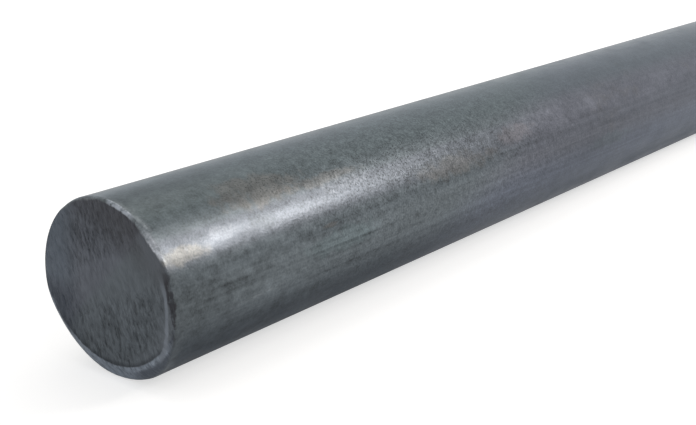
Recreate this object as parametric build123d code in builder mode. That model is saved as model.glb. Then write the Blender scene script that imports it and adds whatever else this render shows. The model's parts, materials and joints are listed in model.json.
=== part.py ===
from build123d import *
import math
import os

# A round hot-rolled steel bar, sawn off a mill length and lying on a level floor.
# +X runs along the bar, from the sawn end whose rim is worn to the plain sawn end, and +Z is up.
# The origin is under the middle of the bar, on the line that it rests on.

# Driving dimensions, in millimetres and degrees
bar_diameter = 50.0  # size the bar was rolled to
bar_length = 500.0  # length it was sawn to
broken_arris = 0.4  # chamfer round both ends
worn_rim_width = 5.0  # across the worn rim at its widest place
worn_rim_turn = 180.0  # where that is, turned about the bar from the top towards -Y
worn_face_diameter = 52.8  # circle that the worn rim leaves of the sawn face, wider than the bar
worn_rim_radius = 2.0  # radius that the edge of the sawn face is worn to
worn_rim_slope = 29.0  # angle to the sawn face at which that radius runs out into a flat bevel

bar_radius = bar_diameter / 2
worn_face_radius = worn_face_diameter / 2

# The rim is worn off centre: it is turned about an axis of its own, which lies beside the bar's
# axis. What is left of the sawn face ends in a circle about that axis, and as the circle is wider
# than the bar, the worn rim narrows up both sides and runs out before it reaches the top.
worn_axis_offset = worn_rim_width + worn_face_radius - bar_radius
worn_axis_y = worn_axis_offset * math.sin(math.radians(worn_rim_turn))
worn_axis_z = bar_radius - worn_axis_offset * math.cos(math.radians(worn_rim_turn))
worn_axis = Axis((-bar_length / 2, worn_axis_y, worn_axis_z), (1, 0, 0))
form_margin = bar_diameter  # how far the turned form reaches past the bar, so that it trims one end

with BuildPart() as round_bar:
    with BuildSketch(Plane.YZ.offset(-bar_length / 2)):
        with Locations((0, bar_radius)):
            Circle(bar_radius)
    extrude(amount=bar_length)
    chamfer(round_bar.edges().filter_by(GeomType.CIRCLE), broken_arris)

    # The form that the bar is trimmed to is half a lengthwise section, turned about the worn
    # rim's axis: the sawn face, the worn edge, the bevel, and then well clear of the bar.
    with BuildSketch(Plane(origin=worn_axis.position, x_dir=(1, 0, 0), z_dir=(0, -1, 0))):
        with BuildLine():
            sawn_face = Line((0, 0), (0, worn_face_radius))
            worn_edge = JernArc(sawn_face @ 1, sawn_face % 1, worn_rim_radius, -worn_rim_slope)
            bevel = PolarLine(worn_edge @ 1, form_margin, direction=worn_edge % 1)
            form_end = bar_length + form_margin
            Polyline(bevel @ 1, (form_end, (bevel @ 1).Y), (form_end, 0), sawn_face @ 0)
        make_face()
    revolve(axis=worn_axis, mode=Mode.INTERSECT)

round_bar.part.label = "round_bar"

os.makedirs("parts", exist_ok=True)
export_step(round_bar.part, "parts/round_bar.step")
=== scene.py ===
import json
import math

import bpy
import numpy as np
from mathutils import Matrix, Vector


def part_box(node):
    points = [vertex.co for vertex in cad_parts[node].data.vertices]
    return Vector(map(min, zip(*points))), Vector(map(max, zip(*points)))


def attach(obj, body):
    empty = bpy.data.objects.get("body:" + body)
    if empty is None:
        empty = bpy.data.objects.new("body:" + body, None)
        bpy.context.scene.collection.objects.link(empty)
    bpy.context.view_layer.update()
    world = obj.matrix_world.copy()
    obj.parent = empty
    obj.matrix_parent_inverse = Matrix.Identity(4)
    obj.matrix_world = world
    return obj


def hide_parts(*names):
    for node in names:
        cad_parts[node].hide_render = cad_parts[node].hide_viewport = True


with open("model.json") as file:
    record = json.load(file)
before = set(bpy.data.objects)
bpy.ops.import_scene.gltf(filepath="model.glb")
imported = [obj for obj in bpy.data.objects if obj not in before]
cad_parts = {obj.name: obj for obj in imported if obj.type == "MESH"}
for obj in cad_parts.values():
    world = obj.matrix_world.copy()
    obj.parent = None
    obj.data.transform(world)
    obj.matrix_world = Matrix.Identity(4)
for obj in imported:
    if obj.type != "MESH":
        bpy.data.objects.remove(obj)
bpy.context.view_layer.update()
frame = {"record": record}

# ------------------------------------------------------------------------------------ the bar
# One solid length of hot-rolled round steel. Rolling leaves it round, in a skin of mill scale,
# and sawing gives it flat ends covered in short scratches. Underneath, the rim of the -X end is
# worn back to a broad bevel; over the top its arris is rubbed round and chipped bright.
side_mount = next(m for m in frame["record"]["mounts"] if m["name"] == "bar_side")
bar_radius = side_mount["dims"]["r_mm"] / 1000
axis_height = side_mount["pos_m"][2]
bar_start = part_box("round_bar")[0].x
bar_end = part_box("round_bar")[1].x

worn_rim_width = 0.005  # across the bevel at its widest place
worn_rim_turn = math.radians(180.0)  # where that is, turned about the bar from the top towards -Y
worn_face_radius = 0.0264  # of the circle that the bevel leaves of the sawn face
worn_rim_radius = 0.002  # between the face and the bevel
worn_rim_slope = math.radians(29.0)
worn_axis_offset = worn_rim_width + worn_face_radius - bar_radius

broken_arris = 0.0004  # round the plain end
sawn_arris = 0.0003  # round the worn end, as the saw left it
rubbed_arris = 0.0004  # added over the top, and once more on the -Y half of the top
rubbed_arris_widest = 0.0003  # added where that is rubbed most
rubbed_arris_low = 0.0013  # added low down on the -Y side
chip_depth = 0.0002
rubbed_middle = math.radians(9)  # the turn at the middle of what is rubbed over the top

bruise_width = 0.0021  # of the dark bruised strip down the -Y side of the rim
bruise_depth = 0.00025
scratch_depth_worn = 0.0002
scratch_depth_plain = 0.00012
scratch_fade = 0.0008  # the scratches die away over this distance from a face's edge
scratch_bend = 0.0011  # how far a scratch is pushed off its line

quiet_height = 0.13 * bar_radius  # a band across the worn face carries fainter scratches: its
quiet_slope = 0.45  # height at the middle of the face, and how fast it climbs towards -Y
flat_depth = 0.00002
ripple_depth = 0.000005
dimple_depth = 0.00004

columns = 480  # round the bar
rows_on_worn_face = 62
rows_on_worn_rim = 18
rows_on_side = 88
rows_on_far_arris = 3
rows_on_far_face = 30


def lattice_noise(u, v, cells_u, cells_v, seed):
    """Smooth noise from -1 to 1, repeating each time u or v goes up by 1.

    Random heights on a lattice of cells_u by cells_v cells, blended across each cell with the
    curve 3 t^2 - 2 t^3 in both directions.
    """
    heights = np.random.default_rng(seed).uniform(-1, 1, (cells_u, cells_v))
    along, across = u * cells_u, v * cells_v
    i, j = np.floor(along).astype(int), np.floor(across).astype(int)
    s, t = along - i, across - j
    s, t = s * s * (3 - 2 * s), t * t * (3 - 2 * t)
    i, j, next_i, next_j = i % cells_u, j % cells_v, (i + 1) % cells_u, (j + 1) % cells_v
    near = heights[i, j] * (1 - s) + heights[next_i, j] * s
    far = heights[i, next_j] * (1 - s) + heights[next_i, next_j] * s
    return near * (1 - t) + far * t


def rise(value, start, end):
    """0 up to start, 1 past end, and the curve 3 t^2 - 2 t^3 between them."""
    t = np.clip((value - start) / (end - start), 0, 1)
    return t * t * (3 - 2 * t)


def round_arc(turn, start, full, falling, end):
    """1 where the turn lies from full to falling, 0 before start and past end, all in degrees:
    a rise from start to full, times a rise from end back to falling."""
    start, full, falling, end = np.radians((start, full, falling, end))
    return rise(turn, start, full) * rise(turn, end, falling)


def saw_scratches(right, up, lean, seed):
    """Depth, from 0 to 1, of the scratches on a sawn end, at places seen facing that end.

    Two layers of noise drawn out four to one along a line that leans to the left of upright by
    lean. A coarse slow noise pushes them sideways, which bends the scratches a little.
    """
    reach = 4 * bar_radius
    push = scratch_bend * lattice_noise(right / reach, up / reach, 11, 11, seed)
    along = up * math.cos(lean) - right * math.sin(lean)
    sideways = right * math.cos(lean) + up * math.sin(lean) + push
    coarse = lattice_noise(along / reach, sideways / reach, 46, 124, seed + 1)
    fine = lattice_noise(along / reach, sideways / reach, 66, 200, seed + 2)
    return np.clip(0.5 + 0.7 * coarse + 0.5 * fine, 0, 1)


def worn_rim_depth(turn, radius):
    """How far the worn end is worn back along the bar, at a turn and radius about its axis.

    Measured from the bevel's own axis, it is nothing on what is left of the sawn face, then a
    round of the worn radius up to the bevel's slope, and from there the straight bevel.
    """
    toward_worn = 2 * radius * worn_axis_offset * np.cos(turn - worn_rim_turn)
    past_face = np.sqrt(radius**2 + worn_axis_offset**2 + toward_worn) - worn_face_radius
    round_width = worn_rim_radius * math.sin(worn_rim_slope)
    on_round = np.clip(past_face, 0, round_width)
    on_bevel = np.clip(past_face - round_width, 0, None)
    round_depth = worn_rim_radius - np.sqrt(worn_rim_radius**2 - on_round**2)
    return round_depth + on_bevel * math.tan(worn_rim_slope)


def rim_start(turn):
    """Radius at which the rim's rows start, at each turn: on the edge that the bevel leaves of
    the sawn face, or just inside the bruised strip where the bevel has run out."""
    lean = turn - worn_rim_turn
    on_circle = np.sqrt(worn_face_radius**2 - (worn_axis_offset * np.sin(lean)) ** 2)
    edge = on_circle - worn_axis_offset * np.cos(lean)
    return np.minimum(edge, bar_radius - 1.2 * bruise_width)


def bruise(turn, radius):
    """1 on the bruised strip down the -Y side of the worn end's rim, 0 away from it: a rise
    outwards from a ragged circle, kept to that side."""
    ragged = 0.0002 * lattice_noise(turn / (2 * math.pi), radius * 0, 70, 1, 41)
    edge = bar_radius - bruise_width + ragged
    return rise(radius, edge, edge + 0.0009) * round_arc(turn, 56, 70, 104, 124)


def arris_depth(turn, radius):
    """How far the worn end's arris is rounded back: a small round, larger over the top and
    chipped deeper there in places towards -Y, and rubbed wider low down on the -Y side.

    The round's size changes with the turn; its depth is a quarter circle of that size.
    """
    from_middle = np.abs((turn - rubbed_middle + math.pi) % (2 * math.pi) - math.pi)
    over_top = rise(from_middle, math.radians(53), math.radians(45))
    towards_y = round_arc(turn, 2, 10, 52, 60)
    chips = rise(lattice_noise(turn / (2 * math.pi), radius * 0, 150, 1, 42), 0.0, 0.6)
    chips = chips * round_arc(turn, 2, 8, 26, 34)
    size = sawn_arris + rubbed_arris * (over_top + towards_y) + chip_depth * chips
    size = size + rubbed_arris_widest * round_arc(turn, 30, 38, 46, 54)
    size = size + rubbed_arris_low * round_arc(turn, 122, 150, 165, 200)
    past_round = np.clip(radius - (bar_radius - size), 0, size)
    return size - np.sqrt(size**2 - past_round**2)


def rolled_hollows(turn, share_along):
    """Depth below true round of the rolled side, in metres: faint lengthwise flats, shorter
    ripples, and dimples where the finest of three noises is high."""
    u, v = turn / (2 * math.pi), share_along
    flats = flat_depth * (1 + lattice_noise(u, v, 9, 3, 31))
    ripples = ripple_depth * (1 + lattice_noise(u, v, 60, 14, 32))
    dimples = dimple_depth * np.clip(lattice_noise(u, v, 150, 190, 33) - 0.55, 0, None)
    return flats + ripples + dimples


def bar_surface():
    """The whole outside as one grid of points: rows from the middle of the worn end, out over its
    rim, along the side, over the far arris and in to the middle of the far end; columns round
    the axis. Comes with the depth of the scratches, 0 to 1, at each point."""
    turn = np.linspace(0, 2 * math.pi, columns, endpoint=False)[None, :]
    edge = rim_start(turn)

    share = np.linspace(0, 1, rows_on_worn_face + 1)[1:, None]
    rim_share = np.linspace(0, 1, rows_on_worn_rim + 1)[1:, None]
    near_radius = np.concatenate([share * edge, edge + rim_share * (bar_radius - edge)])
    near_turn = turn + 0 * near_radius
    depth = worn_rim_depth(near_turn, near_radius) + arris_depth(near_turn, near_radius)
    depth = depth + bruise_depth * bruise(near_turn, near_radius)
    right, up = near_radius * np.sin(turn), near_radius * np.cos(turn)
    from_quiet = (up - quiet_height - quiet_slope * right) / (0.22 * bar_radius)
    quiet = np.exp(-(from_quiet**2)) * rise(right, -0.016, -0.007)
    near_scratches = saw_scratches(right, up, math.radians(20), 5) * (1 - 0.6 * quiet)
    inside = rise(bar_radius - near_radius, 0, scratch_fade)
    near_depth = depth + scratch_depth_worn * near_scratches * inside

    # The rows on the side lie closer together near the worn end, to meet the finer rows there.
    share = np.linspace(0, 1, rows_on_side + 1)[1:, None] ** 1.6
    side_start = bar_start + near_depth[-1:]
    side_end = bar_end - broken_arris
    side_x = side_start + share * (side_end - side_start)
    share_along = (side_x - bar_start) / (bar_end - bar_start)
    between_ends = rise(share, 0, 0.01) * rise(share, 1, 0.99)
    side_radius = bar_radius - between_ends * rolled_hollows(turn + 0 * side_x, share_along)

    share = np.linspace(0, 1, rows_on_far_arris + 1)[1:, None]
    arris_radius = bar_radius - share * broken_arris + 0 * turn
    arris_x = side_end + share * broken_arris + 0 * turn

    share = np.linspace(1, 0, rows_on_far_face + 1)[1:-1, None]
    far_radius = share * (bar_radius - broken_arris) + 0 * turn
    far_scratches = saw_scratches(-far_radius * np.sin(turn), far_radius * np.cos(turn), 0.1, 9)
    inside = rise(bar_radius - broken_arris - far_radius, 0, scratch_fade)
    far_x = bar_end - scratch_depth_plain * far_scratches * inside

    radius = np.concatenate([near_radius, side_radius, arris_radius, far_radius])
    x = np.concatenate([bar_start + near_depth, side_x, arris_x, far_x])
    unscratched = np.full((rows_on_side + rows_on_far_arris, columns), 0.5)
    scratches = np.concatenate([near_scratches, unscratched, far_scratches])
    y, z = -radius * np.sin(turn), axis_height + radius * np.cos(turn)
    return np.stack([x, y, z], axis=-1), scratches


def closed_grid(name, grid, first_pole, last_pole):
    """A mesh of a grid whose columns close into rings, with a fan of triangles at each end."""
    rows, around = grid.shape[:2]
    points = np.concatenate([grid.reshape(-1, 3), [first_pole, last_pole]])
    row = np.arange(rows - 1)[:, None] * around
    here = np.arange(around)[None, :]
    beyond = (here + 1) % around
    ring = row + here, row + beyond, row + around + beyond, row + around + here
    quads = np.stack(ring, axis=-1)
    here, beyond = here[0], beyond[0]
    first_fan = np.stack([np.full(around, rows * around), beyond, here], axis=-1)
    last = (rows - 1) * around
    last_fan = np.stack([np.full(around, rows * around + 1), last + here, last + beyond], axis=-1)
    mesh = bpy.data.meshes.new(name)
    faces = quads.reshape(-1, 4).tolist() + first_fan.tolist() + last_fan.tolist()
    mesh.from_pydata(points.tolist(), [], faces)
    mesh.shade_smooth()
    return mesh


surface, scratch_depths = bar_surface()
poles = (bar_start, 0, axis_height), (bar_end, 0, axis_height)
bar_mesh = closed_grid("rolled_bar", surface, *poles)
stored = bar_mesh.attributes.new("scratch_depth", "FLOAT", "POINT")
stored.data.foreach_set("value", np.append(scratch_depths.ravel(), [0.5, 0.5]))
rolled_bar = bpy.data.objects.new("rolled_bar", bar_mesh)
bpy.context.collection.objects.link(rolled_bar)


class Finish:
    """One socket of a material's nodes, so that patterns are added and scaled as plain sums."""

    def __init__(self, tree, socket=None):
        self.tree = tree
        self.socket = socket

    def node(self, kind, settings, inputs, output=0):
        """Adds a node: its settings first, then the value of each socket, or a link to it."""
        node = self.tree.nodes.new(kind)
        for name, value in settings.items():
            setattr(node, name, value)
        for name, value in inputs.items():
            if isinstance(value, Finish):
                self.tree.links.new(value.socket, node.inputs[name])
            else:
                node.inputs[name].default_value = value
        return Finish(self.tree, node.outputs[output] if node.outputs else None)

    def beside(self, output):
        """Another output of the node that this socket belongs to."""
        return Finish(self.tree, self.socket.node.outputs[output])

    def maths(self, operation, *values):
        """A sum, product or other piece of maths on this socket and further values."""
        sockets = dict(enumerate((self, *values)))
        return self.node("ShaderNodeMath", {"operation": operation}, sockets)

    def __add__(self, other):
        return self.maths("ADD", other)

    __radd__ = __add__

    def __mul__(self, other):
        return self.maths("MULTIPLY", other)

    __rmul__ = __mul__

    def __sub__(self, other):
        return self.maths("SUBTRACT", other)

    def __rsub__(self, other):
        return self * -1 + other

    def __pow__(self, other):
        return self.maths("POWER", other)

    def rise(self, start, end):
        """0 up to start, 1 past end, and a smooth rise between them; it falls if end is first."""
        if start > end:
            return 1 - self.rise(end, start)
        settings = {"interpolation_type": "SMOOTHSTEP"}
        return self.node("ShaderNodeMapRange", settings, {0: self, 1: start, 2: end})

    def tint(self, under, over):
        """The colour under where this is 0, and the colour over where it is 1."""
        settings = {"data_type": "RGBA"}
        return self.node("ShaderNodeMix", settings, {0: self, 6: under, 7: over}, output=2)

    def toned(self, by):
        """This colour, darker or lighter by a value."""
        return self.node("ShaderNodeVectorMath", {"operation": "SCALE"}, {0: self, "Scale": by})


steel = bpy.data.materials.new("hot_rolled_steel")
steel.use_nodes = True
steel.node_tree.nodes.clear()
steel_nodes = Finish(steel.node_tree)

# Where a point is: along the bar from the worn end, right (towards -Y) and up from the axis, how
# far from the axis, and the turn about it from the top towards -Y.
place = steel_nodes.node("ShaderNodeTexCoord", {}, {}, output="Object")
place_x = steel_nodes.node("ShaderNodeSeparateXYZ", {}, {"Vector": place}, output="X")
along = place_x - bar_start
right = 0 - place_x.beside("Y")
up = place_x.beside("Z") - axis_height
from_axis = (up * up + right * right) ** 0.5
turned = right.maths("ARCTAN2", up)


def past_turn(start, end):
    """0 up to the turn start and 1 past the turn end, in degrees; it falls if end is first."""
    return turned.rise(math.radians(start), math.radians(end))


def arc(start, full, falling, end):
    """1 from the turn full to the turn falling, 0 before start and past end, in degrees."""
    return past_turn(start, full) * past_turn(end, falling)


def speckle(scale, detail, roughness=0.55, stretch=(1, 1, 1), shift=(0, 0, 0), at=place, bend=0.0):
    """Noise from -1 to 1, mostly near 0, with about scale grains to the metre, which are longer
    in the directions in which stretch is under 1."""
    moved = at.node("ShaderNodeMapping", {}, {"Vector": at, "Scale": stretch, "Location": shift})
    sockets = {"Vector": moved, "Scale": scale, "Detail": detail, "Roughness": roughness}
    sockets["Distortion"] = bend
    return at.node("ShaderNodeTexNoise", {}, sockets) * 2 - 1


ragged = speckle(240, 4)  # it makes the edges of patches and of worn places uneven


def stain(at, turn, length, width):
    """1 in the middle of a ragged patch on the side, and 0 outside it: at a distance from the
    worn end and a turn in degrees, reaching a length along the bar and a width in radians."""
    reach = ((along - at) * (1 / length)) ** 2 + ((turned - math.radians(turn)) * (1 / width)) ** 2
    return (reach + 1.6 * ragged).rise(1.2, 0.1)


def stained(colour, stains):
    """A colour with patches laid over it in turn, each with its place, strength and colour."""
    for where, strength, stain_colour in stains:
        colour = (stain(*where) * strength).tint(colour, stain_colour)
    return colour


def mill_scale():
    """The rolled side: a thin skin of slate-grey oxide, mottled, sandy and finely pitted. Comes
    as its colour, its roughness and the height of its relief."""
    clouds = speckle(34, 3, stretch=(0.4, 1, 1))
    smears = speckle(120, 3, stretch=(0.6, 1, 1), shift=(0.3, 0, 0))
    patches = speckle(150, 3, 0.6, shift=(0, 0.2, 0))
    blotches = speckle(280, 3, 0.6, shift=(0, 0, 0.4))
    mottle = speckle(450, 4, 0.65)
    grain = speckle(1700, 2)
    streaks = speckle(700, 2, stretch=(0.03, 1, 1))

    # Slate grey: greener over the top and bluer towards the plain end. On the shoulder, where the
    # lamp's highlight falls, a bluer tint is painted to colour that highlight.
    on_top = past_turn(46, 30)
    highlit_shoulder = arc(44, 50, 62, 70)
    colour = (on_top * 0.8).tint((0.109, 0.127, 0.139, 1), (0.107, 0.132, 0.138, 1))
    colour = (highlit_shoulder * 0.7).tint(colour, (0.114, 0.123, 0.145, 1))
    far = (along + 0.045 * turned).rise(0.185, 0.235)
    far_colour = past_turn(76, 100).tint((0.121, 0.124, 0.150, 1), (0.112, 0.125, 0.166, 1))
    far_colour = on_top.tint(far_colour, (0.098, 0.113, 0.132, 1))
    colour = (far * 0.8).tint(colour, far_colour)

    # Patches where the scale grew or rubbed differently: greenish, reddish and brown ones, and a
    # broad faint browning. Then, along the shoulder where the highlight falls, painted highlight
    # and painted shade in bright, dull and cream patches.
    colour = stained(colour, [
        ((0.066, 85, 0.018, 0.16), 0.6, (0.103, 0.133, 0.142, 1)),
        ((0.226, 91, 0.018, 0.12), 0.6, (0.110, 0.133, 0.152, 1)),
        ((0.162, 57, 0.012, 0.14), 0.6, (0.136, 0.127, 0.140, 1)),
        ((0.040, 34, 0.018, 0.24), 0.5, (0.163, 0.150, 0.136, 1)),
        ((0.066, 43, 0.018, 0.08), 0.4, (0.163, 0.150, 0.138, 1)),
    ])
    browned = stain(0.125, 65, 0.022, 0.15).maths("MAXIMUM", stain(0.060, 73, 0.004, 0.03))
    browned = browned * 0.55 + (0.4 * ragged - clouds).rise(0.2, 0.5) * 0.25
    colour = browned.tint(colour, (0.137, 0.129, 0.122, 1))
    # Painted highlight (bright and cream) and painted shade (dull) in patches along the shoulder.
    highlight_patch, shade_patch = (0.235, 0.255, 0.285, 1), (0.062, 0.071, 0.077, 1)
    colour = stained(colour, [
        ((0.022, 54, 0.006, 0.09), 0.45, highlight_patch),
        ((0.073, 49, 0.012, 0.10), 0.27, highlight_patch),
        ((0.037, 56, 0.005, 0.12), 0.35, shade_patch),
        ((0.117, 60, 0.020, 0.10), 0.35, shade_patch),
        ((0.005, 60, 0.011, 0.11), 0.55, (0.173, 0.166, 0.147, 1)),
    ])

    # Next to the worn end the scale is rubbed light over the top, and nearly bare on the shoulder.
    # Both are also painted light as the highlight on the rounded arris, brightest on the shoulder.
    rubbed_and_highlit = (turned - rubbed_middle).maths("ABSOLUTE").rise(math.radians(53), math.radians(46))
    rubbed_and_highlit = rubbed_and_highlit * (along + 0.002 * ragged).rise(0.0030, 0.0002)
    rubbed_and_highlit = rubbed_and_highlit * (0.65 + 1.2 * speckle(520, 3, 0.7))
    colour = rubbed_and_highlit.tint(colour, (0.222, 0.244, 0.264, 1))
    bared_and_highlit = rubbed_and_highlit * arc(34, 50, 54, 61)
    colour = (bared_and_highlit * along.rise(0.0016, 0.0006)).tint(colour, (0.640, 0.668, 0.725, 1))

    # Painted shade makes it darker low down, most of all near the worn end but not at its very
    # rim.
    # It is also a little darker over the top there.
    underside_shade = past_turn(92, 118) * along.rise(0.17, 0.08) * 0.5 + past_turn(106, 128) * 0.36
    underside_shade = underside_shade * (0.4 + 0.6 * (along + 0.004 * ragged).rise(0.002, 0.006))
    colour = underside_shade.tint(colour, (0.036, 0.046, 0.059, 1))
    upper = arc(-8, 6, 22, 38) * along.rise(0.048, 0.012)
    colour = (upper * 0.5).tint(colour, (0.064, 0.077, 0.079, 1))

    # One light scratch runs slanting along the -Y side.
    scratch = (turned + 0.6 * along - math.radians(100.4)).maths("ABSOLUTE").rise(0.030, 0.006)
    scratch = scratch * along.rise(0.018, 0.026) * along.rise(0.042, 0.034)
    scratch = scratch * speckle(900, 2, stretch=(0.3, 1, 1)).rise(-0.25, 0.25)
    colour = (scratch * 0.4).tint(colour, (0.201, 0.221, 0.234, 1))

    # Its tone is cloudy near the worn end, sandy along the middle and drawn out down the side.
    cloudy = along.rise(0.09, 0.03)
    sandy = 0.60 + 0.65 * along.rise(0.03, 0.08) * along.rise(0.22, 0.13)
    down_side = past_turn(50, 80)
    pale = arc(70, 80, 98, 114) * along.rise(0.004, 0.030)
    dragged = pale * along.rise(0.11, 0.07)
    tone = 1 + 0.2 * clouds + 0.2 * patches + (0.6 * mottle + 0.8 * grain) * sandy
    tone = tone + (0.12 + 0.3 * down_side) * streaks + highlit_shoulder * 0.4 * smears
    tone = tone + cloudy * (0.4 + 0.4 * down_side) * blotches
    tone = tone + 0.32 * pale * along.rise(0.20, 0.14) + dragged * (0.5 * streaks + 0.3 * patches)
    colour = colour.toned(tone.maths("MAXIMUM", 0.4) * 0.86)

    # Fine dark pits lie thickest on the shoulder, a fifth of the way along.
    pit_spacing = 0.0008
    pitted = stain(0.110, 47, 0.05, 0.36) + 0.6 * stain(0.045, 30, 0.02, 0.2) + 0.15
    cells = {"Vector": place, "Scale": 1 / pit_spacing}
    pits = steel_nodes.node("ShaderNodeTexVoronoi", {}, cells, "Distance").rise(0.38, 0.20)
    pits = pits * pitted
    colour = (pits * 0.8).tint(colour, (0.02725, 0.03175, 0.03475, 1))

    smoothest = 0.276
    roughness = 0.295 + 0.1 * clouds + 0.15 * smears + 0.08 * mottle + 0.1 * pits
    roughness = roughness.maths("MAXIMUM", smoothest) + 0.2 * underside_shade + 0.3 * bared_and_highlit
    return colour, roughness, 0.25 * mottle + 0.15 * grain - 0.08 * pits


def sawn_steel():
    """The sawn ends: darker steel, scratched by the blade, and browned towards the top. Comes as
    its colour, its roughness and the height of its relief."""
    depth = steel_nodes.node("ShaderNodeAttribute", {"attribute_name": "scratch_depth"}, {}, "Fac")
    leaning = {"Vector": place, "Rotation": (math.radians(20), 0, 0)}
    sawn_place = steel_nodes.node("ShaderNodeMapping", {}, leaning)
    scratches = speckle(1400, 2, 0.6, stretch=(0, 1, 0.36), at=sawn_place, bend=0.8)
    dashes = scratches.rise(-0.04, -0.28)

    # Across the middle the scratches are fainter and the steel a little lighter.
    from_quiet = (up - quiet_height - quiet_slope * right) * (1 / (0.24 * bar_radius))
    from_quiet = from_quiet**2
    marked = 0.35 + 0.65 * (from_quiet + 2 * right.rise(-0.007, -0.016)).rise(0.2, 1.6)
    # Deeper scratches are painted darker: painted shade in their grooves.
    tone = 0.70 + (0.76 * scratches - 0.18 * dashes) * marked + 0.2 * ragged - 0.4 * (depth - 0.5)
    tone = tone - from_quiet.rise(0.3, 4) * (0.15 + 0.15 * up.rise(-0.004, 0.004))
    bluer = (up - right).rise(0.001, 0.006)
    colour = bluer.tint((0.108, 0.1245, 0.140, 1), (0.110, 0.1205, 0.142, 1))
    colour = colour.toned((0.42 + 0.98 * tone).maths("MAXIMUM", 0.3) * 0.86)
    browned = (up + 0.5 * right).rise(0.010, 0.024)
    colour = (browned * 0.6).tint(colour, (0.049, 0.0475, 0.0525, 1))

    # It is lighter towards the edge on three sides, and darker at the lower +Y side.
    upper_back = right.rise(-0.009, -0.019) * up.rise(-0.006, 0.001)
    colour = (upper_back * 0.6).tint(colour, (0.118, 0.144, 0.176, 1))
    lower_front = from_axis.rise(0.016, 0.023) * past_turn(76, 96)
    colour = (lower_front * 0.5).tint(colour, (0.145, 0.163, 0.185, 1))
    upper_front = from_axis.rise(0.018, 0.0225) * arc(32, 40, 58, 66)
    colour = (upper_front * 0.35).tint(colour, (0.145, 0.163, 0.190, 1))
    lower_back = right.rise(-0.008, -0.019) * up.rise(0.001, -0.006)
    colour = (lower_back * 0.62).tint(colour, (0.030, 0.038, 0.054, 1))
    return colour, 0.42 + 0.15 * scratches, 1.6 * scratches * marked


# The sawn steel stops short of the bar's edge where the arris is rubbed over the top.
over_top = (turned - rubbed_middle).maths("ABSOLUTE").rise(math.radians(53), math.radians(46))
worn_back = (rubbed_arris + 0.0010 * ragged) * over_top + rubbed_arris * arc(2, 10, 52, 60)
worn_back = worn_back + rubbed_arris_widest * arc(30, 38, 46, 54)
near_end = along.rise(0.0033, 0.0027) * (from_axis + worn_back - bar_radius).rise(0.0001, -0.0006)
far_end = along.rise(bar_end - bar_start - 0.0003, bar_end - bar_start - 0.0001)
ends = near_end.maths("MAXIMUM", far_end)
scale_colour, scale_roughness, scale_relief = mill_scale()
sawn_colour, sawn_roughness, sawn_relief = sawn_steel()
colour = ends.tint(scale_colour, sawn_colour)
roughness = ends * sawn_roughness + (1 - ends) * scale_roughness
relief = ends * sawn_relief + (1 - ends) * scale_relief

# The worn bevel is painted a lighter blue-grey along its inner edge and at its foot, a painted
# reflection of the white floor. Outside that on the -Y side it is darker, and the edge of the face
# beside it lies in a thin dark line of painted shadow.
worn_axis = worn_axis_offset * math.cos(worn_rim_turn), worn_axis_offset * math.sin(worn_rim_turn)
from_worn_axis = ((up + worn_axis[0]) ** 2 + (right + worn_axis[1]) ** 2) ** 0.5
past_edge = from_worn_axis + 0.0004 * ragged - worn_face_radius
bevel = past_edge.rise(-0.0001, 0.0004) * near_end
scraped = 0.5 + 1.2 * sawn_relief
colour = bevel.tint(colour, scraped.tint((0.058, 0.068, 0.084, 1), (0.120, 0.140, 0.170, 1)))
floor_reflection = right.rise(0.013, 0.007) * right.rise(-0.017, -0.011)
floor_reflection = floor_reflection + past_edge.rise(0.0019, 0.0008) * right.rise(0.004, 0.009)
floor_reflection = floor_reflection * past_turn(106, 122).maths("MAXIMUM", past_turn(30, -30))
outer_edge = from_axis.rise(bar_radius - 0.0014, bar_radius - 0.0007) * right.rise(0.010, 0.004)
floor_reflection = bevel * floor_reflection.maths("MAXIMUM", outer_edge)
floor_reflection_colour = scraped.tint((0.160, 0.185, 0.220, 1), (0.320, 0.365, 0.430, 1))
colour = (floor_reflection * 0.9).tint(colour, floor_reflection_colour)
darker_outside = past_edge.rise(0.0010, 0.0022) * right.rise(0.005, 0.012) * near_end
colour = (darker_outside * 0.75).tint(colour, (0.086, 0.100, 0.122, 1))
shadowed = past_edge.rise(-0.0014, -0.0002) * past_edge.rise(0.0001, -0.0001) * near_end
shadowed = shadowed * up.rise(-0.006, -0.016)
colour = (shadowed * 0.6).tint(colour, (0.020, 0.023, 0.028, 1))

# A painted highlight follows the edge of the face up the -Y side: a light line where a lip there
# catches the light.
line_radius = bar_radius - 0.0027
past_line = from_axis + 0.0003 * ragged - 0.0010 * past_turn(94, 122) - line_radius
edge_highlight = past_line.rise(-0.0009, -0.0003) * past_line.rise(0.0008, 0.0003)
edge_highlight = edge_highlight * arc(62, 84, 118, 136) * near_end
colour = (edge_highlight * 0.9).tint(colour, (0.190, 0.213, 0.248, 1))

# The bruised strip outside that line is nearly black, and a little brown.
strip_width = 0.0010 + 0.0009 * arc(58, 70, 84, 100)
strip = (from_axis + strip_width + 0.0006 * ragged - bar_radius).rise(-0.0002, 0.0003)
strip = strip * arc(57, 76, 98, 116) * (along + 0.0022 * ragged).rise(0.0008, 0.0002)
colour = (strip * 0.75).tint(colour, (0.020, 0.017, 0.021, 1))

# Chips along the top of the arris show bright steel.
chipped = (speckle(700, 2) + 0.45).rise(-0.1, 0.5) * arc(3, 8, 22, 30)
chipped = chipped * from_axis.rise(bar_radius - 0.0013, bar_radius - 0.0008)
chipped = chipped * along.rise(0.0010, 0.0005)
colour = (chipped * 0.9).tint(colour, (0.370, 0.400, 0.450, 1))

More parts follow.
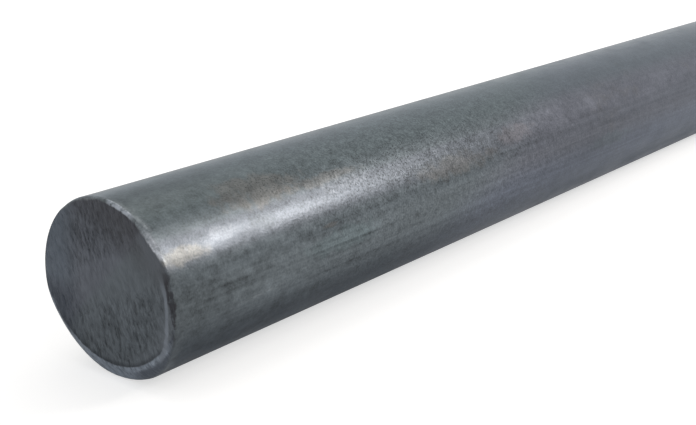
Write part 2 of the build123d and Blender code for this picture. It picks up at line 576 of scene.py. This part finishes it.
fine_relief = {"Strength": 0.6, "Distance": 0.00012, "Height": relief}
bump = steel_nodes.node("ShaderNodeBump", {}, fine_relief)
sockets = {"Base Color": colour, "Metallic": 0.65, "Roughness": roughness, "Normal": bump}
sockets["Specular Tint"] = (0.70, 0.75, 0.81, 1)
shader = steel_nodes.node("ShaderNodeBsdfPrincipled", {}, sockets)
steel_nodes.node("ShaderNodeOutputMaterial", {}, {"Surface": shader})

bar_mesh.materials.append(steel)
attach(rolled_bar, "root")
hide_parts("round_bar")

# ---------------------------------------------------------------------------------- the floor
# A plain white floor, level with the line that the bar lies on. It keeps the bar's soft shadow,
# and glows just enough to be seen and mirrored as white.
floor_reach = 6.0
floor_white = 0.68
glow_seen = 0.62
glow_mirrored = 0.30

floor_mesh = bpy.data.meshes.new("white_floor")
corners = [(-floor_reach, -floor_reach, 0), (floor_reach, -floor_reach, 0)]
corners += [(floor_reach, floor_reach, 0), (-floor_reach, floor_reach, 0)]
floor_mesh.from_pydata(corners, [], [(0, 1, 2, 3)])
white_floor = bpy.data.objects.new("white_floor", floor_mesh)
bpy.context.collection.objects.link(white_floor)
paper = bpy.data.materials.new("white_paper")
paper.use_nodes = True
paper.node_tree.nodes.clear()
paper_nodes = Finish(paper.node_tree)
seen = paper_nodes.node("ShaderNodeLightPath", {}, {}, output="Is Camera Ray")
mirrored = seen.beside("Is Glossy Ray").maths("MAXIMUM", seen.beside("Is Transmission Ray"))
paper_white = {"Color": (floor_white, floor_white, floor_white, 1)}
matt = paper_nodes.node("ShaderNodeBsdfDiffuse", {}, paper_white)
strength = glow_seen * seen + glow_mirrored * mirrored
glow = paper_nodes.node("ShaderNodeEmission", {}, {"Strength": strength})
both = paper_nodes.node("ShaderNodeAddShader", {}, {0: matt, 1: glow})
paper_nodes.node("ShaderNodeOutputMaterial", {}, {"Surface": both})
floor_mesh.materials.append(paper)

# ----------------------------------------------------------------------------- light and sky
# A white backdrop all round, as seen and as mirrored, which lights the bar at half strength. A
# window on the -Y side lights its shoulder, with a softer one above it and a faint top light.
backdrop_light = 0.48

world = bpy.data.worlds.new("studio")
bpy.context.scene.world = world
world.use_nodes = True
world.node_tree.nodes.clear()
world_nodes = Finish(world.node_tree)
camera_ray = world_nodes.node("ShaderNodeLightPath", {}, {}, output="Is Camera Ray")
shown = camera_ray.maths("MAXIMUM", camera_ray.beside("Is Glossy Ray"))
shown = shown.maths("MAXIMUM", camera_ray.beside("Is Transmission Ray"))
backdrop = {"Color": (1, 1, 1, 1), "Strength": backdrop_light + (1 - backdrop_light) * shown}
sky = world_nodes.node("ShaderNodeBackground", {}, backdrop)
world_nodes.node("ShaderNodeOutputWorld", {}, {"Surface": sky})


def softbox(name, centre, aim, size, power):
    """A rectangular lamp at a place, turned to face another, that no camera sees."""
    lamp = bpy.data.lights.new(name, "AREA")
    lamp.shape = "RECTANGLE"
    lamp.size, lamp.size_y = size
    lamp.energy = power
    lamp.color = (1.0, 0.95, 0.89)
    holder = bpy.data.objects.new(name, lamp)
    holder.location = centre
    holder.rotation_euler = (Vector(aim) - Vector(centre)).to_track_quat("-Z", "Y").to_euler()
    holder.visible_camera = False
    bpy.context.collection.objects.link(holder)


softbox("window", (0.368, -0.536, 0.460), (-0.225, 0, 0.04), (0.20, 0.17), 2.0)
softbox("window_top", (0.40, -0.40, 0.65), (-0.18, 0, 0.04), (0.28, 0.28), 1.2)
softbox("overhead", (0.1, 0.3, 1.2), (0, 0, 0), (1.2, 1.2), 4.0)

# --------------------------------------------------------------------------------- the camera
# The camera stands just off the worn end, a little above the bar, and looks along it through a
# lens a little longer than a plain one, so the plain end runs out of its frame.
camera_data = bpy.data.cameras.new("camera")
camera_data.lens = 62.38
camera = bpy.data.objects.new("camera", camera_data)
camera.location = (-0.43388, -0.22858, 0.13779)
camera.rotation_euler = (math.radians(72.285), 0, math.radians(-50.94))
bpy.context.collection.objects.link(camera)
bpy.context.scene.camera = camera
bpy.context.scene.view_settings.view_transform = "Standard"
